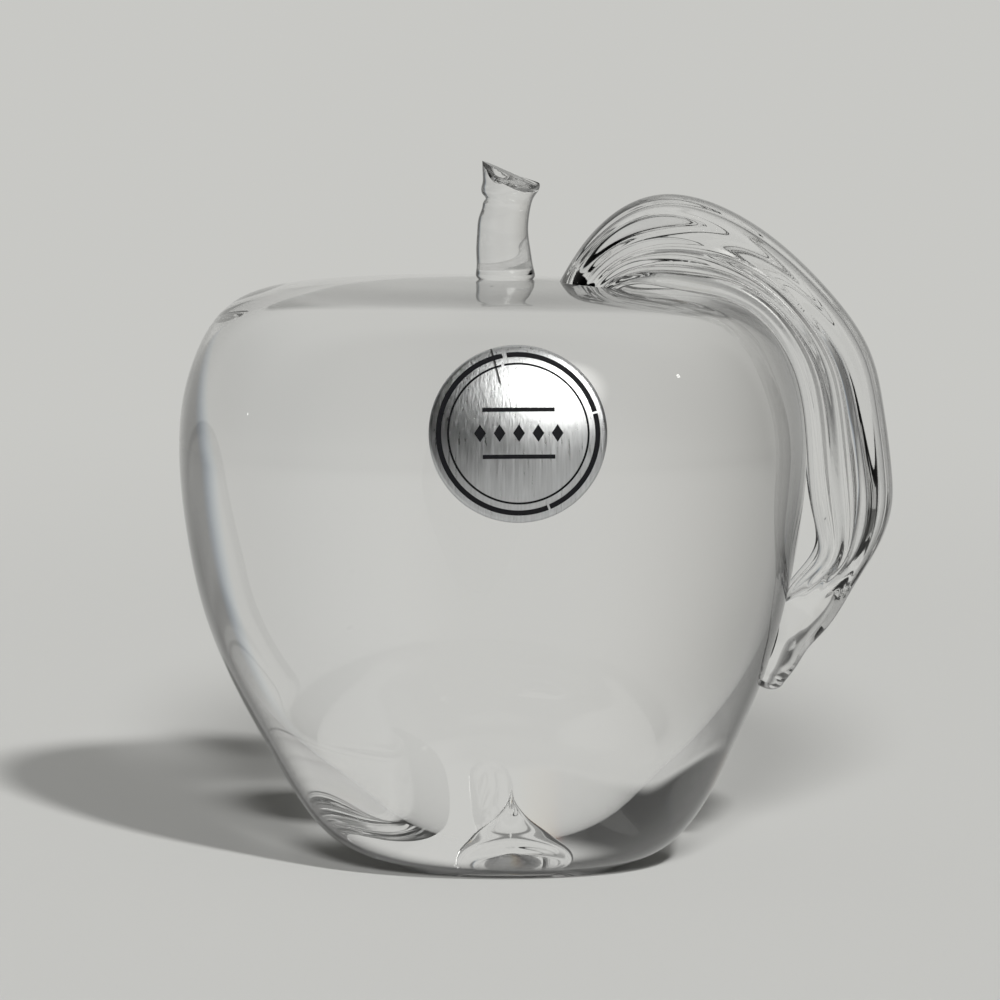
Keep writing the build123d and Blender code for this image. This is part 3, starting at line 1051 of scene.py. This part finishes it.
class APPLE_OT_stage(Operator):
    """Makes the pale floor, the backdrop, the lamps and the camera"""

    bl_idname = "apple.stage"
    bl_label = "Stage"

    def execute(self, context):
        scene, stage = context.scene, context.scene.apple_stage
        group = room_group(stage)
        bm = bmesh.new()
        bmesh.ops.create_circle(bm, cap_ends=True, segments=FLOOR_STEPS, radius=stage.floor_radius)
        mesh = bpy.data.meshes.new("floor")
        bm.to_mesh(mesh)
        bm.free()
        mesh.materials.append(floor_material(stage, group))
        floor = stage_object("floor", mesh)
        mesh.transform(Matrix.Translation((0, 0, -FLOOR_GAP)))

        world = bpy.data.worlds.new("Pale room")
        world.use_nodes = True
        scene.world = world
        tree = world.node_tree
        sky = tree.nodes["Background"]
        place = tree.nodes.new("ShaderNodeTexCoord")
        tree.links.new(room_tone(tree, group, place.outputs["Generated"], stage), sky.inputs["Color"])
        strength = ramp(tree, shown_rays(tree), 0, 1, stage.ambient, 1)
        tree.links.new(strength, sky.inputs["Strength"])

        for name, strength, azimuth, elevation, size in (
            ("key", stage.key_strength, stage.key_azimuth, stage.key_elevation, stage.key_size),
            ("fill", stage.fill_strength, stage.fill_azimuth, stage.fill_elevation, stage.fill_size),
        ):
            lamp = bpy.data.lights.new(name, "SUN")
            lamp.energy = strength
            lamp.angle = size
            obj = stage_object(name, lamp)
            out = aim(azimuth, elevation)
            obj.location = out
            obj.rotation_euler = out.to_track_quat("Z", "Y").to_euler()
            obj.visible_glossy = False
            obj.visible_transmission = False

        camera = bpy.data.cameras.new("camera")
        camera.lens = stage.focal_length
        camera.sensor_width = FILM_WIDTH
        camera.clip_start, camera.clip_end = CAMERA_CLIP
        obj = stage_object("camera", camera)
        out = aim(0, stage.camera_elevation)
        obj.location = Vector(CAMERA_TARGET) + out * stage.camera_distance
        obj.rotation_euler = out.to_track_quat("Z", "Y").to_euler()
        scene.camera = obj
        scene.view_settings.view_transform = "Standard"
        return {"FINISHED"}


class APPLE_PT_panel(Panel):
    """Lists the settings and the steps of the crystal apple"""

    bl_idname = "APPLE_PT_panel"
    bl_label = "Crystal Apple"
    bl_space_type = "VIEW_3D"
    bl_region_type = "UI"
    bl_category = "Crystal Apple"

    def draw(self, context):
        for title, name, group, steps in SECTIONS:
            box = self.layout.box()
            box.label(text=title)
            for setting in group.__annotations__:
                box.prop(getattr(context.scene, name), setting)
            for step in steps:
                box.operator(step.bl_idname)


# Each box of the panel: its title, where the scene keeps its settings, what they are and its steps
SECTIONS = [
    ("Body", "apple_body", BodySettings, [APPLE_OT_body]),
    ("Stem", "apple_stem", StemSettings, [APPLE_OT_stem]),
    ("Leaf", "apple_leaf", LeafSettings, [APPLE_OT_leaf, APPLE_OT_fuse]),
    ("Label", "apple_label", LabelSettings, [APPLE_OT_label]),
    ("Stage", "apple_stage", StageSettings, [APPLE_OT_stage]),
]
CLASSES = [item for _, _, group, steps in SECTIONS for item in (group, *steps)] + [APPLE_PT_panel]


def register():
    for item in CLASSES:
        bpy.utils.register_class(item)
    for _, name, group, _ in SECTIONS:
        setattr(bpy.types.Scene, name, PointerProperty(type=group))


def unregister():
    for _, name, _, _ in SECTIONS:
        delattr(bpy.types.Scene, name)
    for item in reversed(CLASSES):
        bpy.utils.unregister_class(item)


def main():
    register()
    bpy.ops.apple.body()
    bpy.ops.apple.stem()
    bpy.ops.apple.leaf()
    bpy.ops.apple.fuse()
    bpy.ops.apple.label()
    bpy.ops.apple.stage()


if __name__ == "__main__":
    main()
